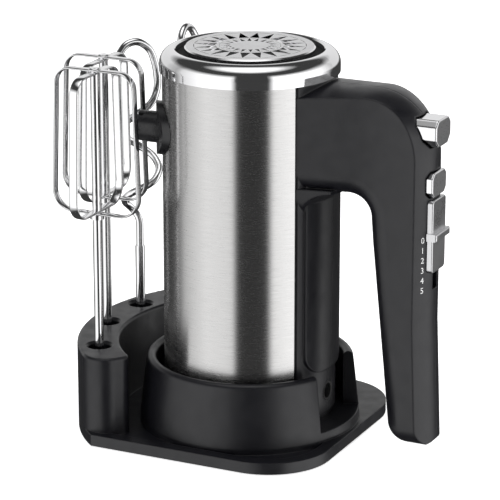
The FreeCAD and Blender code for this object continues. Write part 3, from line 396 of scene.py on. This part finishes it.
def wire_loop(mesh, centre, along, half, z0, z1):
    """One loop of a beater: a flat strip with rounded edges, widest across at its foot."""
    strip_w, strip_t = 5.0 * MM, 1.2 * MM
    top_r, foot_r, taper = 8.4 * MM, 10.4 * MM, 2.0 * MM
    half, z0, z1 = half - strip_t / 2, z0 + strip_t / 2, z1 - strip_t / 2
    head = half - taper
    path = (corner(half - foot_r, z0 + foot_r, foot_r, -90, 0)
            + corner(head - top_r, z1 - top_r, top_r, 0, 90)
            + corner(-head + top_r, z1 - top_r, top_r, 90, 180)
            + corner(-half + foot_r, z0 + foot_r, foot_r, 180, 270))
    side = Vector((-along.y, along.x, 0))
    section = []
    for i in range(SECTION_POINTS):
        t = 2 * math.pi * i / SECTION_POINTS
        c, n = math.cos(t), math.sin(t)
        u = math.copysign(abs(c) ** 0.55, c) * strip_w / 2
        v = math.copysign(abs(n) ** 0.8, n) * strip_t / 2
        section.append((u, v))
    rings = []
    count = len(path)
    for i in range(count):
        ahead, behind = path[(i + 1) % count], path[i - 1]
        run = Vector((ahead[0] - behind[0], ahead[1] - behind[1])).normalized()
        out = along * run.y + Vector((0, 0, -run.x))
        at = centre + along * path[i][0] + Vector((0, 0, path[i][1]))
        rings.append([mesh.verts.new(at + side * u + out * v) for u, v in section])
    for i in range(count):
        a, b = rings[i], rings[(i + 1) % count]
        for j in range(SECTION_POINTS):
            k = (j + 1) % SECTION_POINTS
            mesh.faces.new((a[j], a[k], b[k], b[j]))


def beater_cages():
    """Wire cages of the two beaters, each with a rivet head over its crossing strips."""
    for name in ("beater_1", "beater_2"):
        low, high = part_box(name + "_cage")
        centre = Vector(((low.x + high.x) / 2, (low.y + high.y) / 2, 0))
        half = (high.x - low.x) / 2
        mesh = bmesh.new()
        wire_loop(mesh, centre, Vector((1, 0, 0)), half, low.z, high.z)
        wire_loop(mesh, centre, Vector((0, 1, 0)), half, low.z + 1.2 * MM, high.z - 1.2 * MM)
        bmesh.ops.recalc_face_normals(mesh, faces=mesh.faces)
        data = bpy.data.meshes.new(name + "_strips")
        mesh.to_mesh(data)
        mesh.free()
        data.shade_smooth()
        piece = new_piece(name + "_strips", data, name, (wire_chrome,))
        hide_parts(name + "_cage")
        rivet(name, centre, high.z)


def rivet(name, centre, z):
    """Low domed head turned in steps from its flat foot to its crown."""
    mesh = bmesh.new()
    outline = [(3.3, 0.0), (3.3, 0.25), (3.0, 0.55), (2.2, 0.8), (1.2, 0.92)]
    parts = 40
    rings = []
    for r, h in outline:
        rings.append([mesh.verts.new(centre + polar(r * MM, 2 * math.pi * i / parts, z + h * MM - 0.1 * MM))
                      for i in range(parts)])
    for a, b in zip(rings, rings[1:]):
        for i in range(parts):
            j = (i + 1) % parts
            mesh.faces.new((a[i], a[j], b[j], b[i]))
    mesh.faces.new(rings[-1])
    mesh.faces.new(list(reversed(rings[0])))
    data = bpy.data.meshes.new(name + "_rivet")
    mesh.to_mesh(data)
    mesh.free()
    data.shade_smooth()
    new_piece(name + "_rivet", data, name, (wire_chrome,))


# ---------------------------------------------------------------- studio

TARGET = Vector((0, 0, 0.096))
AZIMUTH = math.radians(25.7)
ELEVATION = math.radians(17.2)
DISTANCE = 1.3826
LENS = 193.1
LAMPS = [  # name, bearing, elevation, distance, size, power
    ("left_softbox", -62, 28, 1.3, (1.1, 1.0), 4.5),
    ("right_softbox", 58, 28, 1.3, (1.0, 1.0), 3.5),
    ("overhead", 0, 86, 1.1, (1.0, 0.6), 7.0),
]
FLOOR_GLOW = 0.72
ROOM = 0.05                       # level of the dark parts of the room
RAMP_TOP = 2.0                    # brightest level that a ramp can hold
# Bearings are degrees to the right of the camera's own direction, heights are sines of the elevation.
PANELS = [(-125, 0.0), (-106, 0.25), (-96, 0.75), (-60, 1.25), (-24, 1.15), (-17, 0.0),
          (23, 0.0), (31, 1.35), (60, 1.6), (100, 1.2), (125, 0.0)]
PANEL_HEIGHT = [(-0.80, 0.0), (-0.55, 1.0), (0.35, 1.0), (0.62, 0.0)]
BACKDROP = [(-180, 0.8), (-130, 0.7), (-100, 0.0), (100, 0.0), (130, 0.7), (180, 0.8)]
ZENITH = [(0.84, 0.0), (0.90, 0.5), (0.99, 1.7)]
BACKDROP_HEIGHT = [(-0.10, 0.0), (-0.02, 1.0), (0.38, 1.0), (0.56, 0.0)]


def camera():
    data = bpy.data.cameras.new("camera")
    data.sensor_width = 36.0
    data.lens = LENS
    eye = bpy.data.objects.new("camera", data)
    bpy.context.scene.collection.objects.link(eye)
    back = Vector((math.sin(AZIMUTH) * math.cos(ELEVATION), -math.cos(AZIMUTH) * math.cos(ELEVATION),
                   math.sin(ELEVATION)))
    eye.location = TARGET + back * DISTANCE
    eye.rotation_euler = (-back).to_track_quat("-Z", "Y").to_euler()
    bpy.context.scene.camera = eye


def softbox(name, place, size, power):
    """Soft lamp aimed at the object. The painted panels stand for it in reflections."""
    data = bpy.data.lights.new(name, "AREA")
    data.shape = "RECTANGLE"
    data.size, data.size_y = size
    data.energy = power
    lamp = bpy.data.objects.new(name, data)
    lamp.location = place
    lamp.rotation_euler = (place - TARGET).to_track_quat("Z", "Y").to_euler()
    lamp.visible_glossy = False
    bpy.context.scene.collection.objects.link(lamp)


def around(azimuth_deg, elevation_deg, distance):
    """Point at an angle to the right of the camera's own direction."""
    a = AZIMUTH + math.radians(azimuth_deg)
    e = math.radians(elevation_deg)
    return TARGET + Vector((math.sin(a) * math.cos(e), -math.cos(a) * math.cos(e), math.sin(e))) * distance


def ramp(tree, value, stops):
    """Grey ramp through (position, level) stops; levels are held as parts of RAMP_TOP."""
    node = tree.nodes.new("ShaderNodeValToRGB")
    band = node.color_ramp
    while len(band.elements) < len(stops):
        band.elements.new(0.5)
    for element, (place, level) in zip(band.elements, stops):
        element.position = place
        element.color = (level / RAMP_TOP,) * 3 + (1,)
    tree.links.new(value, node.inputs["Fac"])
    return node.outputs["Color"]


def maths(tree, operation, first, second):
    node = tree.nodes.new("ShaderNodeMath")
    node.operation = operation
    for socket, value in zip(node.inputs, (first, second)):
        if isinstance(value, (int, float)):
            socket.default_value = value
        else:
            tree.links.new(value, socket)
    return node.outputs["Value"]


def surroundings():
    """Studio seen in reflections: two pale side panels with a dark gap between, and a pale low backdrop."""
    world = bpy.data.worlds.new("studio")
    world.use_nodes = True
    world.cycles.sampling_method = "NONE"
    tree = world.node_tree
    background = tree.nodes["Background"]
    coords = tree.nodes.new("ShaderNodeTexCoord")
    turn = tree.nodes.new("ShaderNodeMapping")
    turn.inputs["Rotation"].default_value = (0, 0, -AZIMUTH)
    tree.links.new(coords.outputs["Generated"], turn.inputs["Vector"])
    split = tree.nodes.new("ShaderNodeSeparateXYZ")
    tree.links.new(turn.outputs["Vector"], split.inputs["Vector"])
    toward = maths(tree, "MULTIPLY", split.outputs["Y"], -1.0)
    bearing = remap(tree, maths(tree, "ARCTAN2", split.outputs["X"], toward), 0.0, 1.0, -math.pi, math.pi)
    height = remap(tree, split.outputs["Z"], 0.0, 1.0, -1.0, 1.0)
    panels = ramp(tree, bearing, [((degrees + 180) / 360, level) for degrees, level in PANELS])
    panel_height = ramp(tree, height, [((z + 1) / 2, level * RAMP_TOP) for z, level in PANEL_HEIGHT])
    backdrop = ramp(tree, bearing, [((degrees + 180) / 360, level) for degrees, level in BACKDROP])
    backdrop_height = ramp(tree, height, [((z + 1) / 2, level * RAMP_TOP) for z, level in BACKDROP_HEIGHT])
    zenith = ramp(tree, height, [((z + 1) / 2, level) for z, level in ZENITH])
    sides = maths(tree, "MULTIPLY", panels, panel_height)
    behind = maths(tree, "MULTIPLY", backdrop, backdrop_height)
    lit = maths(tree, "ADD", maths(tree, "ADD", sides, zenith), behind)
    scaled = maths(tree, "MULTIPLY", lit, RAMP_TOP)
    tree.links.new(maths(tree, "ADD", scaled, ROOM), background.inputs["Strength"])
    background.inputs["Color"].default_value = (1, 1, 1, 1)
    bpy.context.scene.world = world


def floor():
    mesh = bmesh.new()
    bmesh.ops.create_grid(mesh, x_segments=1, y_segments=1, size=6.0)
    data = bpy.data.meshes.new("floor")
    mesh.to_mesh(data)
    mesh.free()
    piece = bpy.data.objects.new("floor", data)
    material, tree, shader = new_material("floor_paper")
    cloud = noise(tree, object_coords(tree), 40.0)
    paper = blend_colours(tree, cloud, (0.90, 0.90, 0.90), (0.92, 0.92, 0.92))
    tree.links.new(paper, shader.inputs["Base Color"])
    shader.inputs["Roughness"].default_value = 0.8
    shader.inputs["Emission Color"].default_value = (1, 1, 1, 1)
    shader.inputs["Emission Strength"].default_value = FLOOR_GLOW
    piece.data.materials.append(material)
    piece.visible_glossy = False
    bpy.context.scene.collection.objects.link(piece)


def studio():
    surroundings()
    floor()
    for name, bearing, elevation, distance, size, power in LAMPS:
        softbox(name, around(bearing, elevation, distance), size, power)
    bpy.context.scene.view_settings.view_transform = "Standard"


paint_frame()
medallion()
numerals()
beater_cages()
camera()
studio()
